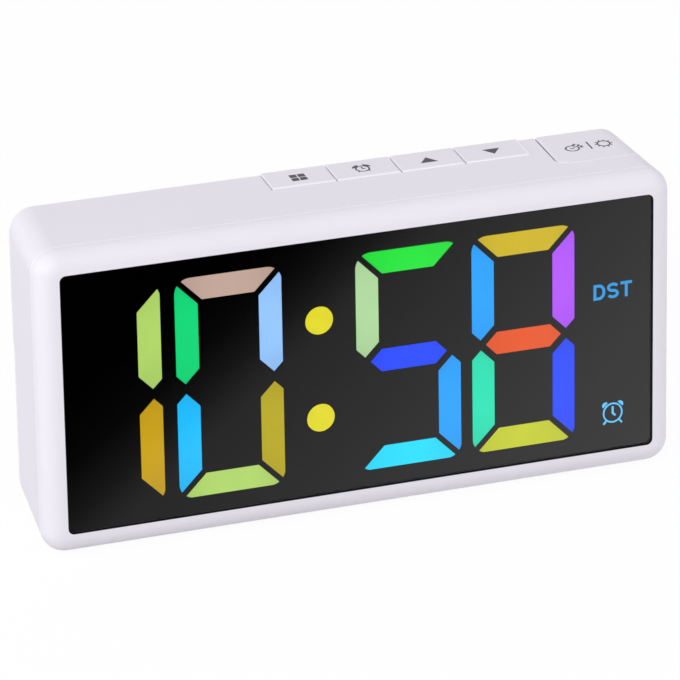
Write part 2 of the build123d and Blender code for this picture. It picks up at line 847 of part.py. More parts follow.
# Key board, its switches, plungers and screws
with BuildPart() as key_board:
    with BuildSketch(top.offset(-key_board_drop)):
        with Locations((key_board_left, key_board_front)):
            Rectangle(
                key_board_right - key_board_left,
                key_board_rear - key_board_front,
                align=(Align.MIN, Align.MIN),
            )
        with Locations(*[(x, key_boss_y) for x in key_boss_xs]):
            Circle(screw_bore_diameter / 2, mode=Mode.SUBTRACT)
    extrude(amount=-key_board_thickness)
write(key_board.part, "key_board")

with BuildPart() as key_switches:
    with BuildSketch(top.offset(-key_board_drop)):
        with Locations(*[(x, stem_y) for x in switch_xs]):
            Rectangle(switch_size, switch_size)
    extrude(amount=switch_height)
    with BuildSketch(top.offset(-switch_drop)):
        with Locations(*[(x, stem_y) for x in switch_xs]):
            Rectangle(plunger_width + 2 * plunger_bore_gap, plunger_width + 2 * plunger_bore_gap)
    extrude(amount=-plunger_bore_depth, mode=Mode.SUBTRACT)
write(key_switches.part, "key_switches")

for name, x in zip(key_names + ("snooze",), switch_xs):
    with BuildPart() as plunger:
        with BuildSketch(top.offset(-stem_end)):
            with Locations((x, stem_y)):
                Rectangle(plunger_width, plunger_width)
        extrude(amount=-(plunger_proud + plunger_sunk))
    write(plunger.part, f"{name}_plunger")

with BuildPart() as key_board_screws:
    with Locations(top.offset(-(key_board_drop + key_board_thickness))):
        with Locations(*[(x, key_boss_y) for x in key_boss_xs]):
            with Locations(Rotation(180, 0, 0)):
                add(pan_screw(key_board_thickness + key_screw_reach))
write(key_board_screws.part, "key_board_screws")

# Flat cable from the key board to the display board
with BuildPart() as ribbon_cable:
    with BuildSketch(side.offset(ribbon_x - ribbon_width / 2)):
        under_drop = key_board_drop + key_board_thickness
        ribbon_depth = on_top(key_board_front + ribbon_inset, under_drop)[0]
        add(
            bent_strip(
                (
                    under_top(ribbon_depth - ribbon_thickness / 2, under_drop)[1],
                    under_top(ribbon_depth + ribbon_thickness / 2, under_drop)[1],
                ),
                (ribbon_depth, case_height / 2 - ribbon_drop),
                board_rear,
                ribbon_thickness,
                ribbon_bend,
                1,
            )
        )
    extrude(amount=ribbon_width)
write(ribbon_cable.part, "ribbon_cable")

# Parts on the back of the display board
pin_rows = chip_width + chip_pin_reach
with BuildPart() as control_chip:
    with BuildSketch(layer(board_rear + chip_pin_thickness)):
        with Locations((chip_x, chip_y)):
            Rectangle(chip_length, chip_width)
    extrude(amount=-chip_height)
    with BuildSketch(layer(board_rear)):
        with Locations((chip_x, chip_y)):
            with GridLocations(chip_pin_pitch, pin_rows, chip_pin_count, 2):
                Rectangle(chip_pin_width, chip_pin_reach)
    extrude(amount=-chip_pin_thickness)
    with BuildSketch(layer(board_rear + chip_pin_thickness)):
        with Locations((chip_x, chip_y)):
            with GridLocations(chip_pin_pitch, chip_width, chip_pin_count, 2):
                Rectangle(chip_pin_width, 2 * chip_pin_width)
    extrude(amount=-(chip_height / 2))
write(control_chip.part, "control_chip")

with BuildPart() as crystal:
    with BuildSketch(layer(board_rear)):
        with Locations((crystal_x, crystal_y)):
            Rectangle(crystal_length, crystal_width)
    extrude(amount=-crystal_height)
write(crystal.part, "crystal")

with BuildPart() as capacitors:
    with BuildSketch(layer(board_rear)):
        with Locations((capacitor_x, capacitor_y), (capacitor_x, capacitor_y - capacitor_pitch)):
            Circle(capacitor_diameter / 2)
    extrude(amount=-capacitor_height)
write(capacitors.part, "capacitors")

with BuildPart() as buzzer:
    with BuildSketch(layer(board_rear)):
        with Locations((buzzer_x, buzzer_y)):
            Circle(buzzer_diameter / 2)
    extrude(amount=-buzzer_height)
    with BuildSketch(layer(board_rear + buzzer_height)):
        with Locations((buzzer_x, buzzer_y)):
            Circle(buzzer_port / 2)
    extrude(amount=buzzer_port / 2, mode=Mode.SUBTRACT)
write(buzzer.part, "buzzer")

# Power board, its inlet and its lead
with BuildPart() as power_board:
    with BuildSketch(layer(power_board_rear)):
        with Locations((socket_x, power_board_top - board_thickness / 2)):
            Rectangle(power_board_width, board_thickness)
    extrude(amount=power_board_length)
write(power_board.part, "power_board")

with BuildPart() as power_inlet:
    with BuildSketch(layer(back_panel - part_gap)):
        with Locations((socket_x, socket_y)):
            RectangleRounded(socket_width, socket_height, socket_height / 4)
    extrude(amount=socket_length)
    with BuildSketch(layer(back_panel - part_gap)):
        with Locations((socket_x, socket_y)):
            RectangleRounded(
                socket_width - 2 * socket_wall, socket_height - 2 * socket_wall, socket_height / 4 - socket_wall
            )
            Rectangle(socket_width / 2, socket_tongue, mode=Mode.SUBTRACT)
    extrude(amount=socket_length - socket_wall, mode=Mode.SUBTRACT)
write(power_inlet.part, "power_inlet")

with BuildPart() as power_lead:
    with BuildSketch(side.offset(socket_x - lead_width / 2)):
        add(
            bent_strip(
                (power_board_top, power_board_top),
                (power_lead_depth, power_board_top + power_lead_rise),
                board_rear,
                lead_thickness,
                lead_bend,
                -1,
            )
        )
    extrude(amount=lead_width)
write(power_lead.part, "power_lead")

# Coin cell, its contacts and leads, and the door
with BuildPart() as coin_cell:
    with BuildSketch(layer(cell_rear)):
        with Locations((cell_x, cell_y)):
            Circle(cell_diameter / 2)
    extrude(amount=cell_thickness - cell_rim_height)
    with BuildSketch(layer(cell_front)):
        with Locations((cell_x, cell_y)):
            Circle(cell_rim / 2)
    extrude(amount=-cell_rim_height)
write(coin_cell.part, "coin_cell")

spring_end = cell_y - contact_length / 2
side_contact = cell_y + cell_diameter / 2
with BuildPart() as battery_contacts:
    with BuildSketch(side.offset(cell_x - contact_width / 2)):
        with BuildLine():
            ThreePointArc(
                (well_bottom, spring_end),
                (cell_front, cell_y),
                (well_bottom, spring_end + contact_length),
            )
            ThreePointArc(
                (well_bottom, spring_end + contact_length - contact_thickness),
                (cell_front - contact_thickness, cell_y),
                (well_bottom, spring_end + contact_thickness),
            )
            Line((well_bottom, spring_end), (well_bottom, spring_end + contact_thickness))
            Line(
                (well_bottom, spring_end + contact_length),
                (well_bottom, spring_end + contact_length - contact_thickness),
            )
        make_face()
        with Locations((well_bottom - contact_tail, spring_end)):
            Rectangle(contact_tail, contact_thickness, align=(Align.MIN, Align.MIN))
        with Locations((well_bottom - contact_tail, side_contact)):
            Rectangle(
                contact_tail + cell_rear - well_bottom - contact_gap,
                contact_thickness,
                align=(Align.MIN, Align.MIN),
            )
    extrude(amount=contact_width)
write(battery_contacts.part, "battery_contacts")

with BuildPart() as battery_leads:
    with BuildSketch(layer(board_rear)):
        with Locations(
            (cell_x, spring_end + contact_thickness / 2), (cell_x, side_contact + contact_thickness / 2)
        ):
            Rectangle(battery_lead_thickness, battery_lead_thickness)
    extrude(amount=-(well_bottom - contact_tail - board_rear))
write(battery_leads.part, "battery_leads")

with BuildPart() as battery_door:
    with BuildSketch(layer(door_front)):
        with Locations((cell_x, cell_y)):
            RectangleRounded(door_width, door_height, door_corner)
    extrude(amount=-door_thickness)
    with BuildSketch(layer(door_front)):
        for hand in (-1, 1):
            with Locations((cell_x + hand * door_tab_x, cell_y - door_height / 2)):
                Rectangle(door_tab_width, 2 * door_tab_reach)
    extrude(amount=-door_tab_thickness)
    with BuildSketch(layer(door_rear)):
        with Locations((cell_x, cell_y + door_grip_y)):
            with GridLocations(door_grip_width, door_grip_pitch, 1, door_grip_count):
                Rectangle(door_grip_width, door_grip_height)
    extrude(amount=door_grip_depth, mode=Mode.SUBTRACT)
write(battery_door.part, "battery_door")

# Case screws and feet
with BuildPart() as case_screws:
    with Locations(layer(head_seat)):
        with GridLocations(2 * boss_x, 2 * case_screw_y, 2, 2):
            with Locations(Rotation(180, 0, 0)):
                add(pan_screw(post_floor + screw_reach))
write(case_screws.part, "case_screws")

with BuildPart() as rubber_feet:
    with BuildSketch(bottom_plane.offset(foot_thickness - foot_proud)):
        for y in (foot_inset, bottom_run - foot_inset):
            with Locations((-foot_x, y), (foot_x, y)):
                Rectangle(foot_length, foot_width)
    extrude(amount=-foot_thickness)
    chamfer(rubber_feet.faces().group_by(Axis.Z)[0].edges(), foot_proud / 2)
write(rubber_feet.part, "rubber_feet")
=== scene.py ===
"""Look of the desk clock: finishes, lit display, printed key signs, floor, lamps and camera."""
import math

import bmesh
import bpy
import numpy as np
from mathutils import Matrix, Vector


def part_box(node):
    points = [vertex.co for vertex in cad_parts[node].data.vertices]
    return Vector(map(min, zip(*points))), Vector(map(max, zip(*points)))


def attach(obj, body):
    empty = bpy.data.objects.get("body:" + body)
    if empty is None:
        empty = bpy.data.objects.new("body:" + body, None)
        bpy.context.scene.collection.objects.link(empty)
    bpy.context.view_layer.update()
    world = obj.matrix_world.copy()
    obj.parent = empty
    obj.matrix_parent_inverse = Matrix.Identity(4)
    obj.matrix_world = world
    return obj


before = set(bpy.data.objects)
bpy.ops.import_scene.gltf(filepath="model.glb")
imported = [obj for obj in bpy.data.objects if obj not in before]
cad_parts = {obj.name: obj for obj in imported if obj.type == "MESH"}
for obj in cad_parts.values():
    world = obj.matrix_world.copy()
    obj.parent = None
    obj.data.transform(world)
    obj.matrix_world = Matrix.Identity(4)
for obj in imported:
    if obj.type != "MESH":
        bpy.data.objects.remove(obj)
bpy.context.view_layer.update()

bl_info = {
    "name": "Desk clock finishes",
    "version": (1, 0, 0),
    "blender": (4, 5, 0),
    "location": "3D View > Sidebar > Desk clock",
    "description": "Finishes, lit display, key signs and studio for the desk clock",
    "category": "Object",
}

# Lengths below are in millimetres, as in the part's source, unless a comment says otherwise.
MM = 0.001

# The leaning face: how far it leans back, and its centre on the clock
LEAN = math.radians(12)
FACE_CENTRE = np.array([0, -15.107, 39.547])

# The top behind the front frame: where it starts, as depth and height on the face, and its slope
TOP_FRONT = (5.5, 38.75)
TOP_RISE, TOP_RUN = 2.9, 23.5
TOP_SLOPE = math.atan2(TOP_RISE, TOP_RUN)

# Keys: names, height over the top, front and back as depths, lowest point on the face, rounding
KEYS = ("mode", "alarm", "up", "down")
KEY_PROUD = 0.25
KEY_FRONT, KEY_BACK, KEY_FOOT = 20.27, 29.25, 36.7
KEY_EDGE = 0.3

# Bead along a key's edge: reach over the gap, drop below the top, painted-highlight brightness over the
# key's
LIP_REACH = 0.29
LIP_DROP = 0.4
LIP_PAINTED_HIGHLIGHT = 1.11

# Painted light in the keys' gaps and painted shade in the bar's gap: colours, heights over the top
# where the paint starts, and how far from the bar's left side its painted shade reaches
KEY_GAP_PAINTED_LIGHT = (0.9, 0.89, 0.92)
BAR_GAP_PAINTED_SHADE = (0.05, 0.048, 0.055)
KEY_GAP_PAINT_TOP, BAR_GAP_PAINT_TOP = -0.08, -0.42
BAR_GAP_PAINT_REACH = 0.1

# Window: size on the face, flange behind the lip, and the depth at which its smoke ends
SCREEN_RISE = 33.25
SCREEN_CORNER = 1.6
WINDOW_MARGIN = 2.1
WINDOW_MIDDLE = 1.7

# Black border on the window's back, at either end: front and rear as depths, how far it laps the
# mask and stops short of the window's end, and how far up and down it reaches
BORDER_FRONT, BORDER_REAR = 2.68, 2.72
BORDER_LAP, BORDER_RISE = 0.3, 34

# Black strip between the lip and the pane: width, front and rear as depths, gap to the lip
EDGE_STRIP_WIDTH = 0.2
EDGE_STRIP_FRONT, EDGE_STRIP_REAR = 0.06, 0.75
EDGE_STRIP_GAP = 0.02

# Lit figures: gap round a diffuser, and how much darker a segment is at its ends
DIFFUSER_GAP = 0.1
SEGMENT_FALL = 0.18

# Signs on the keys and the bar: stroke, places as X and depth on the top, and the reach of the
# divider to either side
SIGN_STROKE = 0.42
MODE_SIGN = (-7.43, 24.3)
ALARM_SIGN = (9.45, 24.35)
UP_SIGN = (26.65, 24.35)
DOWN_SIGN = (43.94, 24.2)
SNOOZE_SIGN = (63.8, 20.3)
DIVIDER = (68.55, 20.85)
DIVIDER_REACH = 2.05
SUN_SIGN = (72.45, 20.75)

# Points along a rounded edge, the curves of the letters D and S, and bells and rings
EDGE_POINTS = 9
D_POINTS, S_POINTS = 22, 26
LIT_BELL_POINTS, LIT_RING_POINTS = 18, 48
PRINT_BELL_POINTS, PRINT_RING_POINTS = 12, 36

# Feature sizes of the finishes, in metres, and the scales of brushed lines and copper runs
DRIFT_SIZE = 0.03
MOTTLE_SIZE = 0.002
POLISH_SIZE = 0.012
FIGURE_CLOUD, SIGN_CLOUD = 0.009, 0.003
DIFFUSER_GRAIN = 0.0006
BRUSH_SCALE = (400, 9000, 9000)
TRACK_SCALE = 260

# Colours that stay as they are, as light
UNLIT_BLACK = (0.0003, 0.0003, 0.0003)
EDGE_STRIP_BLACK = (0.014, 0.013, 0.018)

# Stage: sizes and places in metres, the picture and its focal length in pixels, the sensor in
# millimetres
STUDIO_SIZE = 3
LAMP_SIZE = 1
LAMP_AIM = (0, 0, 0.04)
LAMP_PLACES = {"key": (-0.75, -0.85, 1.15), "side": (-1.4, 0.1, 0.5), "fill": (1.1, -0.6, 0.7)}
IMAGE_SIZE = 680
FOCAL_PIXELS = 5300
SENSOR = 36

# Floor: share of plain white that the camera sees, and the fade to black that gloss sees. The
# fade follows a direction over the floor, from a start and over a length.
FLOOR_WHITE = 0.94
FLOOR_TONE = (0.78, 0.78, 0.78)
FLOOR_SHEEN = 1.1
FADE_DIRECTION = (0.87, 0.5)
FADE_START, FADE_LENGTH = -0.13, 0.2
FLOOR_FADE = (
    (0.0, 0.0),
    (0.12, 0.028),
    (0.2, 0.145),
    (0.28, 0.42),
    (0.36, 0.46),
    (0.55, 0.64),
    (0.75, 0.85),
    (0.9, 1.0),
)
WHITE = (1, 1, 1)

# Colours of the lit segments, from 0 to 255, and the segments of each figure. Letters go round
# a figure from the top: a top, b and c right, d bottom, e and f left, g middle.
GLOW = {
    "amber": (200, 160, 0),
    "azure": (0, 188, 255),
    "blue": (0, 64, 255),
    "bright_green": (0, 228, 50),
    "cyan": (0, 220, 255),
    "gold": (206, 180, 0),
    "green": (0, 216, 120),
    "lemon": (196, 204, 28),
    "lime": (176, 214, 104),
    "mint": (174, 216, 156),
    "olive": (184, 168, 0),
    "orange": (230, 80, 0),
    "pale_blue": (148, 198, 255),
    "sand": (194, 166, 152),
    "sky_blue": (0, 160, 255),
    "turquoise": (0, 224, 178),
    "violet": (178, 78, 255),
}
FIGURES = {
    "hour_tens": {"b": "lime", "c": "amber"},
    "hour_units": {
        "a": "sand",
        "b": "pale_blue",
        "c": "olive",
        "d": "lime",
        "e": "azure",
        "f": "green",
    },
    "minute_tens": {
        "a": "bright_green",
        "c": "sky_blue",
        "d": "cyan",
        "f": "mint",
        "g": "blue",
    },
    "minute_units": {
        "a": "gold",
        "b": "violet",
        "c": "blue",
        "d": "lemon",
        "e": "turquoise",
        "f": "sky_blue",
        "g": "orange",
    },
}


def srgb(red, green, blue):
    """Linear colour of a screen colour given from 0 to 255, by the standard curve: straight for
    the darkest part, and a power of 2.4 above it."""
    share = np.array([red, green, blue]) / 255
    linear = np.where(share <= 0.04045, share / 12.92, ((share + 0.055) / 1.055) ** 2.4)
    return tuple(float(value) for value in linear)


def colour_property(name, description, colour):
    """Colour picker with its default given as a screen colour."""
    return bpy.props.FloatVectorProperty(
        name=name,
        description=description,
        subtype="COLOR",
        size=3,
        min=0,
        max=1,
        default=srgb(*colour),
    )


def number_property(name, description, default, **kind):
    """Number with a unit or a subtype."""
    return bpy.props.FloatProperty(name=name, description=description, default=default, **kind)


class ClockFinishes(bpy.types.PropertyGroup):
    """Colours and finishes of the case, keys, window and prints."""

    case: colour_property("Case", "Colour of the moulded case", (240, 236, 246))
    keys: colour_property("Keys", "Colour of the keys and the corner bar", (240, 236, 246))
    print: colour_property("Print", "Colour of the signs on the keys", (84, 84, 90))
    colon: colour_property("Colon", "Colour of the two dots", (224, 215, 20))
    word: colour_property("Daylight word", "Colour of the daylight-time word", (10, 150, 222))
    bell: colour_property("Alarm sign", "Colour of the alarm-clock sign", (90, 196, 255))
    board: colour_property("Boards", "Colour of the solder mask", (24, 92, 52))
    foot: colour_property("Feet", "Colour of the rubber feet", (196, 196, 198))
    window_alpha: number_property(
        "Window density",
        "Share of light the smoked window holds back",
        0.5,
        min=0,
        max=1,
        subtype="FACTOR",
    )
    grain: number_property(
        "Mould grain", "Size of the fine grain on the plastic", 0.00035, unit="LENGTH"
    )


class ClockDisplay(bpy.types.PropertyGroup):
    """Sizes of the lit figures and of the lit and printed signs."""

    digit_width: number_property("Digit width", "Width of one figure", 0.0276, unit="LENGTH")
    digit_height: number_property("Digit height", "Height of one figure", 0.0571, unit="LENGTH")
    middle_offset: number_property(
        "Middle mitre", "How far the middle bar stops short of the sides", 0.003, unit="LENGTH"
    )
    sign_depth: number_property(
        "Sign depth", "Depth of the lit signs behind the front", 0.0028, unit="LENGTH"
    )
    sign_thickness: number_property(
        "Sign thickness", "Thickness of the lit signs", 0.00015, unit="LENGTH"
    )
    print_thickness: number_property(
        "Print thickness", "Thickness of the printed signs", 0.00004, unit="LENGTH"
    )


class ClockStage(bpy.types.PropertyGroup):
    """Lamps, room light and camera."""

    sky: number_property(
        "Room light", "Strength of the even light", 0.565, min=0, max=1, subtype="FACTOR"
    )
    key: number_property("Key lamp", "Power of the lamp in front", 8.3, unit="POWER")
    side: number_property("Side lamp", "Power of the left lamp", 5.9, unit="POWER")
    fill: number_property("Fill lamp", "Power of the right lamp", 2.9, unit="POWER")
    camera_place: bpy.props.FloatVectorProperty(
        name="Camera",
        description="Place of the camera",
        default=(-0.42378, -1.02986, 0.72493),
        subtype="TRANSLATION",
        unit="LENGTH",
    )
    camera_turn: bpy.props.FloatVectorProperty(
        name="Camera turn",
        description="Turn of the camera",
        default=tuple(math.radians(angle) for angle in (58.2386, -3.2719, -20.3156)),
        subtype="EULER",
    )


# Places on the clock


def on_face(across, up, depth):
    """Points given on the leaning face: X is across; Y is depth times cos plus up times sin of
    the lean, Z is up times cos minus depth times sin, both from the face's centre."""
    across, up, depth = np.broadcast_arrays(across, up, depth)
    back = depth * math.cos(LEAN) + up * math.sin(LEAN)
    rise = up * math.cos(LEAN) - depth * math.sin(LEAN)
    return (np.stack([across, back, rise], axis=-1) + FACE_CENTRE) * MM


def on_top(across, depth, height):
    """Points given over the sloping top: depth runs back from the front, and height stands
    square to the top, so it adds its cosine to up and takes its sine from depth."""
    across, depth, height = np.broadcast_arrays(across, depth, height)
    slope = math.tan(TOP_SLOPE)
    up = TOP_FRONT[1] + (depth - TOP_FRONT[0]) * slope + height * math.cos(TOP_SLOPE)
    return on_face(across, up, depth - height * math.sin(TOP_SLOPE))


def face_middle(name):
    """Middle of a node's box on the leaning face, in metres: X is across, and up is Y times the
    lean's sine plus Z times its cosine, both from the face's centre."""
    low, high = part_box(name)
    middle = (np.array(low) + np.array(high)) / 2 - FACE_CENTRE * MM
    across, back, rise = middle.tolist()
    return across, back * math.sin(LEAN) + rise * math.cos(LEAN)


# Surfaces


def grid_faces(rows, columns, close_rows=False, close_columns=False):
    """Quads of a grid of points, joined round in either direction."""
    index = np.arange(rows * columns).reshape(rows, columns)
    if close_rows:
        index = np.vstack([index, index[:1]])
    if close_columns:
        index = np.hstack([index, index[:, :1]])
    corners = (index[:-1, :-1], index[1:, :-1], index[1:, 1:], index[:-1, 1:])
    return np.stack([corner.ravel() for corner in corners], axis=1)


def turn(path, angle):
    """Rotate plane points by an angle in degrees."""
    sine, cosine = math.sin(math.radians(angle)), math.cos(math.radians(angle))
    return np.asarray(path, float) @ np.array([[cosine, sine], [-sine, cosine]])


def arc(centre, radius, start, stop, points):
    """Points of an ellipse at angles from start to stop, in degrees: one radius times the cosine
    across and the other times the sine up, both from the centre."""
    angle = np.radians(np.linspace(start, stop, points))
    return np.array(centre) + np.stack([np.cos(angle), np.sin(angle)], axis=1) * radius


def rounded_rectangle(reach, rise, corner):
    """Closed outline of four quarter circles, each about its own corner's centre."""
    quarters = ((1, 1, 0), (-1, 1, 90), (-1, -1, 180), (1, -1, 270))
    return np.vstack([
        arc((side * (reach - corner), height * (rise - corner)), corner, start, start + 90, EDGE_POINTS)
        for side, height, start in quarters
    ])


def band(path, width, closed=False):
    """Flat band along a path: at each point two edges stand half the width off along the
    mitred normal, which is the sum of both runs' normals over one plus their dot product.
    Returns a grid with one row for each point and a column for each edge."""
    path = np.asarray(path, float)
    if closed:
        before, after = np.roll(path, 1, axis=0), np.roll(path, -1, axis=0)
    else:
        before = np.vstack([2 * path[0] - path[1], path[:-1]])
        after = np.vstack([path[1:], 2 * path[-1] - path[-2]])
    runs = []
    for step in (path - before, after - path):
        run = step / np.linalg.norm(step, axis=1, keepdims=True)
        runs.append(np.stack([-run[:, 1], run[:, 0]], axis=1))
    mitre = (runs[0] + runs[1]) / (1 + np.sum(runs[0] * runs[1], axis=1, keepdims=True))
    offset = mitre * width / 2
    return np.stack([path - offset, path + offset], axis=1)


def sheet_between(lower, upper):
    """Filled shape between two edges with as many points each."""
    return np.stack([np.asarray(lower, float), np.asarray(upper, float)], axis=1)


def tube(loops, closed=False):
    """Solid whose section is a loop of points in each row, carried along the rows; the ends
    are capped when open."""
    rows, columns = loops.shape[:2]
    faces = grid_faces(rows, columns, close_rows=closed, close_columns=True).tolist()
    if not closed:
        last = columns * (rows - 1)
        faces += [list(range(columns)), list(range(last + columns - 1, last - 1, -1))]
    return loops.reshape(-1, 3), faces


def slab(grid, place, low, high, closed=False):
    """Thin solid on a grid of rows with two edges: each row becomes the loop low left, low
    right, high right, high left."""
    loop = [(grid[:, 0], low), (grid[:, 1], low), (grid[:, 1], high), (grid[:, 0], high)]
    return tube(np.stack([place(edge[:, 0], edge[:, 1], level) for edge, level in loop], axis=1), closed)


def front_lip(left, right):
    """Rounded bead along the front edge of a key, from left to right: its section is a block
    with a quarter circle at its top front corner, and at either end the height falls along
    the quarter circle of the key's own edge."""
    front, top = KEY_FRONT - LIP_REACH, KEY_PROUD
    rear = KEY_FRONT + KEY_EDGE
    curve = arc((front + KEY_EDGE, top - KEY_EDGE), KEY_EDGE, 180, 90, EDGE_POINTS)
    section = np.vstack([[(rear, -LIP_DROP), (front, -LIP_DROP)], curve, [(rear, top)]])
    inwards = KEY_EDGE * (1 - np.cos(np.linspace(0, math.pi / 2, EDGE_POINTS)))
    across = np.concatenate([left + inwards, (right - inwards)[::-1]])
    edge = np.minimum(np.minimum(across - left, right - across), KEY_EDGE)
    ceiling = top - KEY_EDGE + np.sqrt(np.maximum(KEY_EDGE**2 - (KEY_EDGE - edge) ** 2, 0))
    height = np.minimum(section[None, :, 1], ceiling[:, None])
    return tube(on_top(across[:, None], section[None, :, 0], height))


def side_lip(x):
    """Strip on the right side of the last key: a band along its top and down its back, which
    reaches over the gap beside the key."""
    drop = KEY_PROUD - KEY_EDGE / 2
    depth = np.array([KEY_FRONT - LIP_REACH, KEY_BACK - KEY_EDGE])
    up = TOP_FRONT[1] + (depth - TOP_FRONT[0]) * math.tan(TOP_SLOPE) + drop
    path = np.vstack([np.stack([depth, up], axis=1), [(depth[1], KEY_FOOT)]])

    def beside(back, rise, side):
        return on_face(side, rise, back)

    return slab(band(path, KEY_EDGE), beside, x - KEY_EDGE, x + LIP_REACH)


def make_piece(name, slabs, body, slot, material):
    """One mesh piece of several closed solids, riding on a body."""
    points, faces, start = [], [], 0
    for vertices, quads in slabs:
        points.append(vertices)
        faces += [[corner + start for corner in quad] for quad in quads]
        start += len(vertices)
    mesh = bpy.data.meshes.new(name)
    mesh.from_pydata(np.vstack(points).tolist(), [], faces)
    mesh.validate()
    piece = bpy.data.objects.new(name, mesh)
    bpy.context.scene.collection.objects.link(piece)
    point_outwards(piece)
    mesh.materials.append(material)
    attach(piece, body)
    return piece


def point_outwards(piece):
    """Turn every face outwards."""
    work = bmesh.new()
    work.from_mesh(piece.data)
    bmesh.ops.recalc_face_normals(work, faces=work.faces)
    work.to_mesh(piece.data)
    work.free()


# Shader maths


class Value:
    """A shader socket that can be added, multiplied and compared like a number."""

    def __init__(self, tree, socket):
        self.tree, self.socket = tree, socket

    def maths(self, operation, *others, swap=False):
        inputs = (self,) + others
        if swap:
            inputs = inputs[::-1]
        return self.tree.node("ShaderNodeMath", {"operation": operation}, dict(enumerate(inputs)))

    def __add__(self, other):
        return self.maths("ADD", other)

    def __sub__(self, other):
        return self.maths("SUBTRACT", other)

    def __rsub__(self, other):
        return self.maths("SUBTRACT", other, swap=True)

    def __mul__(self, other):
        return self.maths("MULTIPLY", other)

    def __lt__(self, other):
        return self.maths("LESS_THAN", other)

    def __gt__(self, other):
        return self.maths("GREATER_THAN", other)

    def __abs__(self):
        return self.maths("ABSOLUTE")

    __radd__ = __add__
    __rmul__ = __mul__


class Finish:
    """The nodes of a material, or of a world, under construction."""

    def __init__(self, name, home=None):
        self.material = home or bpy.data.materials.new(name)
        self.material.use_nodes = True
        self.nodes = self.material.node_tree.nodes
        self.nodes.clear()

    def node(self, kind, settings=None, inputs=None, output=0):
        """Add one node with its settings, then the values or links of its sockets."""
        made = self.nodes.new(kind)
        for name, value in (settings or {}).items():
            if name == "stops":
                self.set_stops(made.color_ramp, value)
            else:
                setattr(made, name, value)
        for key, value in (inputs or {}).items():
            socket = made.inputs[key]
            if isinstance(value, Value):
                self.material.node_tree.links.new(value.socket, socket)
            else:
                socket.default_value = self.fitted(value, socket)
        return Value(self, made.outputs[output]) if made.outputs else made

    @staticmethod
    def fitted(value, socket):
        """A colour given as three numbers gets its alpha."""
        if socket.type == "RGBA" and len(value) == 3:
            return (*value, 1)
        return value

    @staticmethod
    def set_stops(ramp, stops):
        """Give a colour ramp its stops, from 0 to 1."""
        while len(ramp.elements) < len(stops):
            ramp.elements.new(1)
        for element, (place, colour) in zip(ramp.elements, stops):
            element.position = place
            element.color = (*colour, 1)

    def mix(self, share, first, second):
        """Colour between two others."""
        inputs = {0: share, 6: first, 7: second}
        return self.node("ShaderNodeMix", {"data_type": "RGBA"}, inputs, output=2)

    def light_path(self, output):
        """Whether a ray is of one kind."""
        return self.node("ShaderNodeLightPath", output=output)

    def place(self):
        """Object coordinates."""
        return self.node("ShaderNodeTexCoord", output=3)

    def axes(self):
        """Object coordinates as three values."""
        parts = self.node("ShaderNodeSeparateXYZ", None, {0: self.place()})
        return [Value(self, socket) for socket in parts.socket.node.outputs]

    def face_axes(self):
        """Place on the leaning face: across it, up it and the depth behind it."""
        centre = (FACE_CENTRE * MM).tolist()
        across, back, rise = [axis - middle for axis, middle in zip(self.axes(), centre)]
        up = back * math.sin(LEAN) + rise * math.cos(LEAN)
        return across, up, back * math.cos(LEAN) - rise * math.sin(LEAN)

    def seam(self, top, left=None):
        """Mask of painted light and shade: 1 where a key's side stands in a gap, below a height over
        the top and in front of the key's back edge. Given a left limit, it is 1 only on that side of it."""
        across, up, depth = self.face_axes()
        height = up - depth * math.tan(TOP_SLOPE)
        level = TOP_FRONT[1] - TOP_FRONT[0] * math.tan(TOP_SLOPE) + top / math.cos(TOP_SLOPE)
        mask = (height < level * MM) * (depth < (KEY_BACK - KEY_EDGE) * MM)
        return mask if left is None else mask * (across < left)

    def noise(self, size, detail=2, roughness=0.5):
        """Noise whose features are about one size."""
        inputs = {"Vector": self.place(), "Scale": 1 / size, "Detail": detail, "Roughness": roughness}
        return self.node("ShaderNodeTexNoise", None, inputs)

    def bump(self, height, distance, strength):
        """Surface relief from a height."""
        inputs = {"Height": height, "Distance": distance, "Strength": strength}
        return self.node("ShaderNodeBump", None, inputs)

    def surface(self, **inputs):
        """Principled surface joined to the material's output."""
        names = {key.replace("_", " "): value for key, value in inputs.items()}
        shader = self.node("ShaderNodeBsdfPrincipled", None, names)
        self.node("ShaderNodeOutputMaterial", None, {"Surface": shader})
        return self.material


def scaled(colour, share):
    """A colour's light times a share, no part over 1."""
    return tuple(min(1, share * part) for part in colour)


def dress(material, *names):
    """Give CAD nodes a finish."""
    for name in names:
        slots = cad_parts[name].data.materials
        slots.clear()
        slots.append(material)


# Finishes


def moulded_plastic(name, colour, grain, roughness=0.46, seam=None):
    """Satin moulding: fine spark grain, with slow drifts of tone and gloss. A painted gap, given as
    its colour and then what the gap mask takes, gets that colour: painted light where it is lighter
    than the moulding, painted shade where it is darker."""
    finish = Finish(name)
    drift = finish.noise(DRIFT_SIZE, detail=1)
    fine = finish.noise(grain, roughness=0.6)
    shade = finish.mix(drift, scaled(colour, 0.975), scaled(colour, 1.02))
    # Gap walls get the given colour: painted light on the keys, painted shade on the bar
    if seam:
        shade = finish.mix(finish.seam(*seam[1:]), shade, seam[0])
    return finish.surface(
        Base_Color=shade,
        Roughness=roughness + 0.1 * (fine - 0.5) + 0.05 * (drift - 0.5),
        Specular_IOR_Level=0.4,
        Normal=finish.bump(fine, distance=0.00002, strength=0.35),
    )


def plain_finish(
    name, colour, roughness, feature=MOTTLE_SIZE, spread=0.12, relief=0.00001, gloss=0.5
):
    """Finish with a mottle of one size in its tone, gloss and relief."""
    finish = Finish(name)
    mottle = finish.noise(feature, detail=3, roughness=0.6)
    return finish.surface(
        Base_Color=finish.mix(mottle, scaled(colour, 1 - spread), scaled(colour, 1 + spread)),
        Roughness=roughness + 0.2 * (mottle - 0.5),
        Specular_IOR_Level=gloss,
        Normal=finish.bump(mottle, distance=relief, strength=0.5),
    )


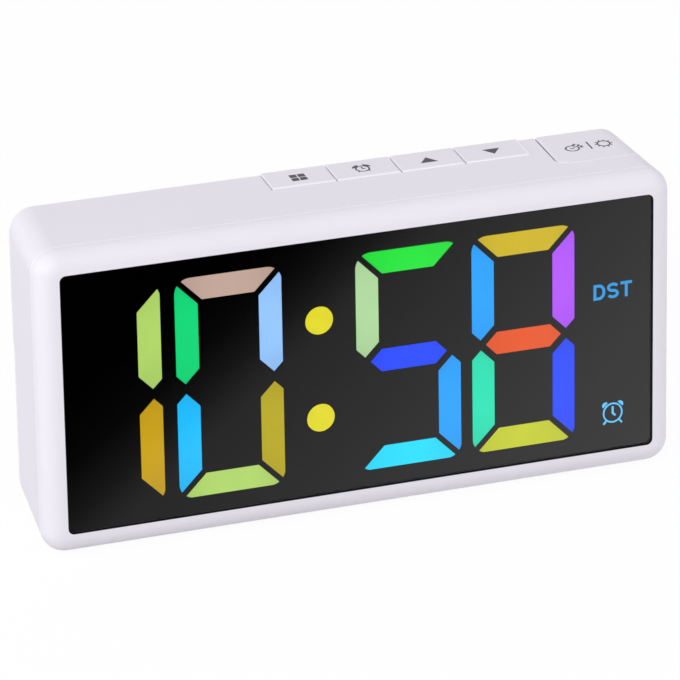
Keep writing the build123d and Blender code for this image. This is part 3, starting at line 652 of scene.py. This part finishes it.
def brushed_metal(name, colour, roughness):
    """Metal with fine lines along X in its gloss and relief."""
    finish = Finish(name)
    stretch = {"Vector": finish.place(), "Scale": BRUSH_SCALE}
    stretched = finish.node("ShaderNodeMapping", None, stretch)
    lines = finish.node("ShaderNodeTexNoise", None, {"Vector": stretched, "Scale": 1, "Detail": 2})
    return finish.surface(
        Base_Color=finish.mix(lines, scaled(colour, 0.85), colour),
        Roughness=roughness + 0.2 * (lines - 0.5),
        Metallic=1.0,
        Normal=finish.bump(lines, distance=0.000004, strength=0.4),
    )


def circuit_board(name, colour):
    """Solder mask with copper runs showing through as lighter, raised lines."""
    finish = Finish(name)
    settings = {"offset": 0.37, "squash": 0.7}
    inputs = {
        "Vector": finish.place(),
        "Scale": TRACK_SCALE,
        "Mortar Size": 0.06,
        "Mortar Smooth": 0.3,
        "Bias": 0,
    }
    runs = finish.node("ShaderNodeTexBrick", settings, inputs, output=1)
    mottle = finish.noise(MOTTLE_SIZE)
    mask = finish.mix(mottle, scaled(colour, 0.8), colour)
    over_copper = tuple(min(1, 1.9 * part + 0.02) for part in colour)
    return finish.surface(
        Base_Color=finish.mix(runs * 0.6, mask, over_copper),
        Roughness=0.3 + 0.1 * mottle,
        Normal=finish.bump(runs, distance=0.00003, strength=0.6),
    )


def smoked_window(name, density):
    """Glossy acrylic with its smoke in the front half: dark, and clear enough for the lit
    figures. The back half is clear, so that a ray meets the smoke once."""
    finish = Finish(name)
    polish = finish.noise(POLISH_SIZE, detail=1)
    depth = finish.face_axes()[2]
    return finish.surface(
        Base_Color=finish.mix(polish, (0.0006, 0.0006, 0.0007), (0.0009, 0.0009, 0.001)),
        Roughness=0.05 + 0.03 * polish,
        Alpha=density * (depth < WINDOW_MIDDLE * MM),
        IOR=1.56,
        Specular_IOR_Level=1.0,
    )


def glowing(finish, colour, strength, glow_size, share=1.0):
    """Finish of a lit diffuser: dark plastic whose glow has broad clouds and a fine grain in it,
    times a share that may vary over the shape."""
    cloud = finish.noise(glow_size, roughness=0.45)
    fine = finish.noise(DIFFUSER_GRAIN, roughness=0.6)
    level = (0.9 + 0.16 * cloud + 0.05 * fine) * share
    tone = finish.node("ShaderNodeVectorMath", {"operation": "SCALE"}, {0: colour, "Scale": level})
    return finish.surface(
        Base_Color=(0.02, 0.02, 0.02),
        Roughness=0.55 + 0.1 * fine,
        Emission_Color=tone,
        Emission_Strength=strength,
    )


def lit_figure(name, x, up, size, middle, palette, strength):
    """Glow of one figure: each point takes the colour of the segment that it lies in. A point
    nearer to an end of the figure than to a side is in a or d, one nearer to a side is in b, c,
    e or f, and one whose height is less than its way to the side, less a middle offset, is in g.
    The light falls with the square of the way along the segment from its middle."""
    finish = Finish(name)
    place = finish.face_axes()
    across, height = place[0] - x, place[1] - up
    to_side, to_end = size[0] / 2 - abs(across), size[1] / 2 - abs(height)
    right, upper = across > 0.0, height > 0.0
    colour = {letter: (0, 0, 0) for letter in "abcdefg"}
    colour.update({letter: srgb(*GLOW[glow]) for letter, glow in palette.items()})
    left_side = finish.mix(upper, colour["e"], colour["f"])
    right_side = finish.mix(upper, colour["c"], colour["b"])
    sides = finish.mix(right, left_side, right_side)
    ends = finish.mix(upper, colour["d"], colour["a"])
    outer = finish.mix(to_end < to_side, sides, ends)
    in_middle = abs(height) < to_side - middle
    whole = finish.mix(in_middle, outer, colour["g"])
    along_side = abs(abs(height) - size[1] / 4) * (4 / size[1])
    along_end = abs(across) * (2 / size[0])
    flat = in_middle.maths("MAXIMUM", to_end < to_side)
    along = along_side + flat * (along_end - along_side)
    return glowing(finish, whole, strength, FIGURE_CLOUD, 1.0 - SEGMENT_FALL * along * along)


def lit_plain(name, colour, strength):
    """Glow of one colour."""
    return glowing(Finish(name), colour, strength, SIGN_CLOUD)


def glow_strength(look):
    """Strength that makes up for what the window's smoke holds back."""
    return 1 / (1 - look.window_alpha)


# Outlines of the signs, in millimetres about their centres


def word_outline():
    """Bands of the three bold letters D, S and T: D is a line and half an ellipse, S two open
    ellipses that meet in the middle, T two lines."""
    stroke, tall, wide = 0.72, 4.05, 3.15
    top, reach = tall / 2 - stroke / 2, wide / 2 - stroke / 2
    bowl = arc((-0.1, 0), (reach + 0.1, top), 90, -90, D_POINTS)
    d_path = np.vstack([[(-reach, -top), (-reach, top)], bowl])
    s_path = np.vstack([
        arc((0, top / 2), (reach, top / 2), 25, 270, S_POINTS)[:-1],
        arc((0, -top / 2), (reach, top / 2), 90, -155, S_POINTS),
    ])
    t_top = [(-wide / 2 + 0.05, top), (wide / 2 - 0.05, top)]
    t_stem = [(0, top - stroke / 2 + 0.02), (0, -tall / 2)]
    letters = [(-3.65, d_path, True), (0, s_path, False), (3.6, t_top, False), (3.6, t_stem, False)]
    return [(band(np.asarray(path) + (x, 0), stroke, closed), closed) for x, path, closed in letters]


def ring_band(radius, stroke, points):
    """Closed band round a circle."""
    path = arc((0, 0), radius, 0, 360 - 360 / points, points)
    return (band(path, stroke, True), True)


def lit_alarm_clock():
    """Ring with two bells above it, two feet below it and two hands inside. A bell is filled
    between half an ellipse and its chord."""
    ring, stroke, bell, hand = 2.48, 0.38, 0.88, 0.52
    shapes = [ring_band(ring, stroke, LIT_RING_POINTS)]
    for side in (-1, 1):
        dome = arc((0, ring + stroke / 2 + 0.28), (bell, bell * 0.92), 0, 180, LIT_BELL_POINTS)
        dome = turn(dome, side * 43)
        chord = np.linspace(dome[0], dome[-1], LIT_BELL_POINTS)
        shapes.append((sheet_between(chord, dome), False))
        foot = turn([(0, -ring - stroke / 4), (0, -ring - 1.35)], side * 41)
        shapes.append((band(foot, stroke * 1.25), False))
    hands = [(-0.02, ring * 0.68), (-0.02, -0.08), (ring * 0.3, -ring * 0.32)]
    shapes.append((band(hands, hand), False))
    return shapes


def four_squares():
    """Four square tiles with narrow gaps."""
    wide, deep, gap = 1.85, 1.58, 0.3
    shift = np.array([wide + gap, deep + gap]) / 2
    row = np.array([(-wide / 2, 0), (wide / 2, 0)])
    tile = sheet_between(row - (0, deep / 2), row + (0, deep / 2))
    return [(tile + shift * sides, False) for sides in ((-1, -1), (-1, 1), (1, -1), (1, 1))]


def triangle(direction):
    """Triangle whose apex points back (1) or forward (-1)."""
    base = np.array([(-2.3, -1.4), (2.3, -1.4)]) * direction
    apex = np.array([(-0.02, 1.4), (0.02, 1.4)]) * direction
    return [(sheet_between(base, apex), False)]


def flattened(shapes, share):
    """The same shapes with their depth taken to a share of itself."""
    return [(grid * (1, share), closed) for grid, closed in shapes]


def printed_alarm_clock():
    """Small printed alarm clock: ring, two curved bells, two feet and hands."""
    ring, stroke = 1.7, SIGN_STROKE
    shapes = [ring_band(ring, stroke, PRINT_RING_POINTS)]
    for side in (-1, 1):
        bell = turn(arc((0, ring + 0.3), (0.95, 0.34), 5, 175, PRINT_BELL_POINTS), side * 42)
        shapes.append((band(bell, stroke * 1.9), False))
        foot = turn([(0, -ring - 0.05), (0, -ring - 0.7)], side * 40)
        shapes.append((band(foot, stroke), False))
    hands = [(0, ring * 0.62), (0, -0.1), (ring * 0.42, -0.1)]
    shapes.append((band(hands, stroke * 0.9), False))
    return flattened(shapes, 0.86)


def snooze_outline():
    """Ring with a button and a lug, hands, and two small letters z beside it."""
    ring, stroke = 1.72, SIGN_STROKE
    shapes = [ring_band(ring, stroke, PRINT_RING_POINTS)]
    shapes.append((band([(0.95, ring + 0.75), (1.65, ring + 0.7)], stroke * 1.5), False))
    shapes.append((band(turn([(0, ring + 0.1), (0, ring + 0.7)], -24), stroke * 1.3), False))
    shapes.append((band([(-0.55, 0.25), (0, -0.1), (0.8, 0.45)], stroke * 0.9), False))
    for x, y, size in ((2.15, 1.55, 0.34), (2.62, 0.5, 0.42)):
        letter = np.array([(-1, 1), (1, 1), (-1, -1), (1, -1)]) * size + (x, y)
        shapes += [(band(letter[i : i + 2], stroke * 0.8), False) for i in range(3)]
    return flattened(shapes, 0.84)


def sun_outline():
    """Ring with ten short rays."""
    ring, rays = 1.6, 10
    shapes = [ring_band(ring, SIGN_STROKE, PRINT_RING_POINTS)]
    for index in range(rays):
        ray = turn([(0, ring + 0.3), (0, ring + 0.72)], 360 / rays * (index + 0.5))
        shapes.append((band(ray, SIGN_STROKE), False))
    return flattened(shapes, 0.9)


def divider():
    """Stroke between the bar's two signs."""
    return [(band([(0, -DIVIDER_REACH), (0, DIVIDER_REACH)], SIGN_STROKE), False)]


def slabs_at(shapes, spot, place, low, high):
    """Thin solids of a sign's shapes, with its centre at a spot."""
    return [slab(grid + spot, place, low, high, closed) for grid, closed in shapes]


# Operators


class DESK_CLOCK_OT_case(bpy.types.Operator):
    """Finish the case, the door, the keys and the feet"""

    bl_idname = "desk_clock.case"
    bl_label = "Case and keys"

    def execute(self, context):
        look = context.scene.clock_finishes
        case = moulded_plastic("moulded_case", look.case, look.grain)
        dress(case, "front_frame", "rear_housing", "battery_door")
        # Painted light: the keys' gap walls are a little lighter than the keys
        seam = (KEY_GAP_PAINTED_LIGHT, KEY_GAP_PAINT_TOP)
        keys = moulded_plastic("moulded_keys", look.keys, look.grain, roughness=0.42, seam=seam)
        dress(keys, *(name + "_key" for name in KEYS))
        # Painted shade: the bar's left gap is near black
        bar_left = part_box("snooze_bar")[0].x + BAR_GAP_PAINT_REACH * MM
        seam = (BAR_GAP_PAINTED_SHADE, BAR_GAP_PAINT_TOP, bar_left)
        bar = moulded_plastic("moulded_bar", look.keys, look.grain, roughness=0.42, seam=seam)
        dress(bar, "snooze_bar")
        # The beads take the keys' colour made lighter: a painted highlight along the keys' edges
        lip_highlight_colour = scaled(look.keys, LIP_PAINTED_HIGHLIGHT)
        lip = moulded_plastic("moulded_lips", lip_highlight_colour, look.grain, roughness=0.36)
        for name in KEYS:
            low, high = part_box(name + "_key")
            parts = [front_lip(low.x / MM, high.x / MM)]
            if name == KEYS[-1]:
                parts.append(side_lip(high.x / MM))
            make_piece(name + "_key_lip", parts, name + "_key_body", "key_white", lip)
        foot = plain_finish("foot_rubber", look.foot, roughness=0.75, feature=0.0008, spread=0.06)
        dress(foot, "rubber_feet")
        return {"FINISHED"}


class DESK_CLOCK_OT_display(bpy.types.Operator):
    """Finish the window, the mask and the lit figures"""

    bl_idname = "desk_clock.display"
    bl_label = "Window and lit figures"

    def execute(self, context):
        look, sizes = context.scene.clock_finishes, context.scene.clock_display
        strength = glow_strength(look)
        dress(smoked_window("smoked_window", look.window_alpha), "display_window")
        black = plain_finish("mask_black", UNLIT_BLACK, roughness=0.6, gloss=0)
        dress(black, "mask_film")
        make_piece("window_border", self.border(), "case", "mask_black", black)
        # A thin black strip along the inside of the bezel's opening, which darkens the pane's edge
        edge_strip_finish = plain_finish("seal_black", EDGE_STRIP_BLACK, roughness=0.6, gloss=0)
        make_piece("window_gasket", [self.edge_strip()], "case", "mask_black", edge_strip_finish)
        block = plain_finish("block_black", UNLIT_BLACK, roughness=0.7, gloss=0)
        dress(block, "light_block")
        unlit = plain_finish("dark_diffuser", UNLIT_BLACK, roughness=0.6, gloss=0)
        dress(unlit, "unlit_segments", "daylight_indicator", "alarm_indicator")
        up = face_middle("hour_units_segments")[1]
        size = (sizes.digit_width, sizes.digit_height)
        for name, palette in FIGURES.items():
            middle = face_middle(name + "_segments")[0]
            if name == "hour_tens":
                # The one has no left strokes, so its place comes from its right edge
                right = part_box(name + "_segments")[1].x + DIFFUSER_GAP * MM
                middle = right - sizes.digit_width / 2
            settings = (middle, up, size, sizes.middle_offset, palette, strength)
            dress(lit_figure("lit_" + name, *settings), name + "_segments")
        dress(lit_plain("lit_colon", tuple(look.colon), strength), "colon_dots")
        return {"FINISHED"}

    @staticmethod
    def border():
        """Black strips printed on the window's back, from the mask's ends to the window's."""
        names = ("mask_film", "display_window")
        inner, outer = (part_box(name)[1].x / MM - BORDER_LAP for name in names)
        strips = []
        for side in (-1, 1):
            ends = (side * inner, side * outer)
            near, far = ([(end, -BORDER_RISE), (end, BORDER_RISE)] for end in ends)
            strips.append(slab(sheet_between(near, far), on_face, BORDER_FRONT, BORDER_REAR))
        return strips

    @staticmethod
    def edge_strip():
        """Thin black strip that lines the bezel's opening in front of the pane."""
        inset = EDGE_STRIP_GAP + EDGE_STRIP_WIDTH / 2
        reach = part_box("display_window")[1].x / MM - WINDOW_MARGIN - inset
        path = rounded_rectangle(reach, SCREEN_RISE - inset, SCREEN_CORNER - inset)
        return slab(band(path, EDGE_STRIP_WIDTH, True), on_face, EDGE_STRIP_REAR, EDGE_STRIP_FRONT, True)


class DESK_CLOCK_OT_signs(bpy.types.Operator):
    """Make the lit daylight-time word and the lit alarm clock"""

    bl_idname = "desk_clock.signs"
    bl_label = "Lit signs"

    def execute(self, context):
        look, sizes = context.scene.clock_finishes, context.scene.clock_display
        strength = glow_strength(look)
        front, rear = sizes.sign_depth / MM, (sizes.sign_depth + sizes.sign_thickness) / MM
        signs = (
            ("daylight_word", "daylight_indicator", word_outline(), look.word, "lit_blue"),
            ("alarm_sign", "alarm_indicator", lit_alarm_clock(), look.bell, "lit_cyan"),
        )
        for name, node, shapes, colour, slot in signs:
            spot = np.array(face_middle(node)) / MM
            slabs = slabs_at(shapes, spot, on_face, rear, front)
            make_piece(name, slabs, "case", slot, lit_plain("lit_" + name, tuple(colour), strength))
        return {"FINISHED"}


class DESK_CLOCK_OT_prints(bpy.types.Operator):
    """Print the signs on the keys and the bar"""

    bl_idname = "desk_clock.prints"
    bl_label = "Key signs"

    def execute(self, context):
        look, sizes = context.scene.clock_finishes, context.scene.clock_display
        ink = plain_finish(
            "key_print", look.print, roughness=0.55, feature=0.0004, spread=0.08, relief=0.000004
        )
        half = sizes.print_thickness / MM / 2
        bar = ((snooze_outline(), SNOOZE_SIGN), (divider(), DIVIDER), (sun_outline(), SUN_SIGN))
        prints = (
            ("mode_sign", "mode_key_body", KEY_PROUD, [(four_squares(), MODE_SIGN)]),
            ("alarm_key_sign", "alarm_key_body", KEY_PROUD, [(printed_alarm_clock(), ALARM_SIGN)]),
            ("up_sign", "up_key_body", KEY_PROUD, [(triangle(1), UP_SIGN)]),
            ("down_sign", "down_key_body", KEY_PROUD, [(triangle(-1), DOWN_SIGN)]),
            ("bar_signs", "snooze_bar_body", 0, bar),
        )
        for name, body, height, groups in prints:
            slabs = []
            for shapes, spot in groups:
                slabs += slabs_at(shapes, spot, on_top, height - half, height + half)
            make_piece(name, slabs, body, "key_white", ink)
        return {"FINISHED"}


class DESK_CLOCK_OT_inner(bpy.types.Operator):
    """Finish the boards, the parts on them, the cell and the fasteners"""

    bl_idname = "desk_clock.inner"
    bl_label = "Inner parts"

    def execute(self, context):
        look = context.scene.clock_finishes
        mask = circuit_board("solder_mask", tuple(look.board))
        dress(mask, "display_board", "key_board", "power_board")
        resin = plain_finish("led_resin", (0.8, 0.76, 0.55), roughness=0.35, feature=0.0008)
        dress(resin, "segment_leds")
        black = plain_finish("black_resin", (0.012, 0.012, 0.013), roughness=0.5, feature=0.0005)
        dress(black, "key_switches", "control_chip", "buzzer")
        plastic = plain_finish("plunger_plastic", (0.02, 0.02, 0.022), roughness=0.4, feature=0.001)
        dress(plastic, *(name + "_plunger" for name in (*KEYS, "snooze")))
        ribbon = plain_finish("ribbon_jacket", (0.3, 0.3, 0.32), roughness=0.45, feature=0.0012)
        dress(ribbon, "ribbon_cable")
        lead = plain_finish("lead_jacket", (0.35, 0.01, 0.01), roughness=0.4, feature=0.001)
        dress(lead, "battery_leads", "power_lead")
        tin = brushed_metal("tinned_can", (0.72, 0.72, 0.72), roughness=0.32)
        dress(tin, "crystal", "capacitors", "power_inlet", "coin_cell")
        nickel = brushed_metal("nickel_spring", (0.74, 0.71, 0.65), roughness=0.25)
        dress(nickel, "battery_contacts")
        steel = brushed_metal("screw_steel", (0.5, 0.5, 0.51), roughness=0.35)
        dress(steel, "board_screws", "key_board_screws", "case_screws")
        return {"FINISHED"}


class DESK_CLOCK_OT_stage(bpy.types.Operator):
    """Set the floor, the lamps and the camera"""

    bl_idname = "desk_clock.stage"
    bl_label = "Stage"

    def execute(self, context):
        stage = context.scene.clock_stage
        self.floor()
        self.sky(context.scene, stage.sky)
        for name, place in LAMP_PLACES.items():
            self.lamp(name + "_lamp", place, getattr(stage, name))
        self.camera(context.scene, stage)
        context.scene.view_settings.view_transform = "Standard"
        return {"FINISHED"}

    @staticmethod
    def floor():
        """White floor that keeps a faint shadow. Gloss sees it fade to black towards the front
        left, by how far a point lies along the fade's direction, less the fade's start and over
        its length."""
        size = STUDIO_SIZE
        mesh = bpy.data.meshes.new("floor")
        corners = [(-size, -size, 0), (size, -size, 0), (size, size, 0), (-size, size, 0)]
        mesh.from_pydata(corners, [], [(0, 1, 2, 3)])
        floor = bpy.data.objects.new("floor", mesh)
        bpy.context.scene.collection.objects.link(floor)
        finish = Finish("studio_floor")
        seen = finish.light_path("Is Camera Ray")
        gloss = finish.light_path("Is Glossy Ray")
        tone = finish.mix(seen, FLOOR_TONE, WHITE)
        matt = finish.node("ShaderNodeBsdfDiffuse", None, {"Color": tone})
        white = finish.node("ShaderNodeEmission", None, {"Color": WHITE, "Strength": 1.0})
        across, back = finish.axes()[:2]
        along = across * FADE_DIRECTION[0] + back * FADE_DIRECTION[1]
        along = (along - FADE_START) * (1 / FADE_LENGTH)
        stops = [(share, (level, level, level)) for share, level in FLOOR_FADE]
        fade = finish.node("ShaderNodeValToRGB", {"stops": stops}, {0: along})
        sheen = finish.node("ShaderNodeEmission", None, {"Color": fade, "Strength": FLOOR_SHEEN})
        shown = finish.node("ShaderNodeMixShader", None, {0: seen * FLOOR_WHITE, 1: matt, 2: white})
        whole = finish.node("ShaderNodeMixShader", None, {0: gloss, 1: shown, 2: sheen})
        finish.node("ShaderNodeOutputMaterial", None, {"Surface": whole})
        mesh.materials.append(finish.material)

    @staticmethod
    def sky(scene, strength):
        """Even white light, and plain white behind the clock."""
        sky = Finish("studio_sky", bpy.data.worlds.new("studio_sky"))
        seen = sky.light_path("Is Camera Ray").maths("MAXIMUM", sky.light_path("Is Transmission Ray"))
        level = strength + (1 - strength) * seen
        light = sky.node("ShaderNodeBackground", None, {"Color": WHITE, "Strength": level})
        sky.node("ShaderNodeOutputWorld", None, {"Surface": light})
        scene.world = sky.material

    @staticmethod
    def lamp(name, place, power):
        """Square lamp that looks at the clock."""
        light = bpy.data.lights.new(name, "AREA")
        light.shape = "RECTANGLE"
        light.size = light.size_y = LAMP_SIZE
        light.energy = power
        lamp = bpy.data.objects.new(name, light)
        bpy.context.scene.collection.objects.link(lamp)
        lamp.location = place
        across, back, rise = (np.array(LAMP_AIM) - np.array(place)).tolist()
        tilt = math.atan2(math.hypot(across, back), -rise)
        lamp.rotation_euler = (tilt, 0, math.atan2(back, across) - math.pi / 2)

    @staticmethod
    def camera(scene, stage):
        """Camera at the photograph's place, with its long focal length."""
        data = bpy.data.cameras.new("camera")
        data.sensor_width = SENSOR
        data.lens = FOCAL_PIXELS / IMAGE_SIZE * SENSOR
        data.clip_end = 10 * STUDIO_SIZE
        camera = bpy.data.objects.new("camera", data)
        camera.location = stage.camera_place
        camera.rotation_euler = stage.camera_turn
        scene.collection.objects.link(camera)
        scene.camera = camera


class DESK_CLOCK_PT_panel(bpy.types.Panel):
    """Lists the clock's steps and settings."""

    bl_idname = "DESK_CLOCK_PT_panel"
    bl_label = "Desk clock"
    bl_space_type = "VIEW_3D"
    bl_region_type = "UI"
    bl_category = "Desk clock"

    def draw(self, context):
        for operator in OPERATORS:
            self.layout.operator(operator.bl_idname)
        for group in ("clock_finishes", "clock_display", "clock_stage"):
            settings = getattr(context.scene, group)
            for name in settings.__annotations__:
                self.layout.prop(settings, name)


OPERATORS = (
    DESK_CLOCK_OT_case,
    DESK_CLOCK_OT_display,
    DESK_CLOCK_OT_signs,
    DESK_CLOCK_OT_prints,
    DESK_CLOCK_OT_inner,
    DESK_CLOCK_OT_stage,
)
GROUPS = {"clock_finishes": ClockFinishes, "clock_display": ClockDisplay, "clock_stage": ClockStage}


def register():
    """Register the settings, the operators and the panel."""
    for cls in (*GROUPS.values(), *OPERATORS, DESK_CLOCK_PT_panel):
        bpy.utils.register_class(cls)
    for name, cls in GROUPS.items():
        setattr(bpy.types.Scene, name, bpy.props.PointerProperty(type=cls))


def unregister():
    """Take the settings, the operators and the panel away again."""
    for name in GROUPS:
        delattr(bpy.types.Scene, name)
    for cls in (DESK_CLOCK_PT_panel, *reversed(OPERATORS), *reversed(GROUPS.values())):
        bpy.utils.unregister_class(cls)


def main():
    """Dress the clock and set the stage."""
    register()
    for operator in OPERATORS:
        group, name = operator.bl_idname.split(".")
        getattr(getattr(bpy.ops, group), name)()


if __name__ == "__main__":
    main()
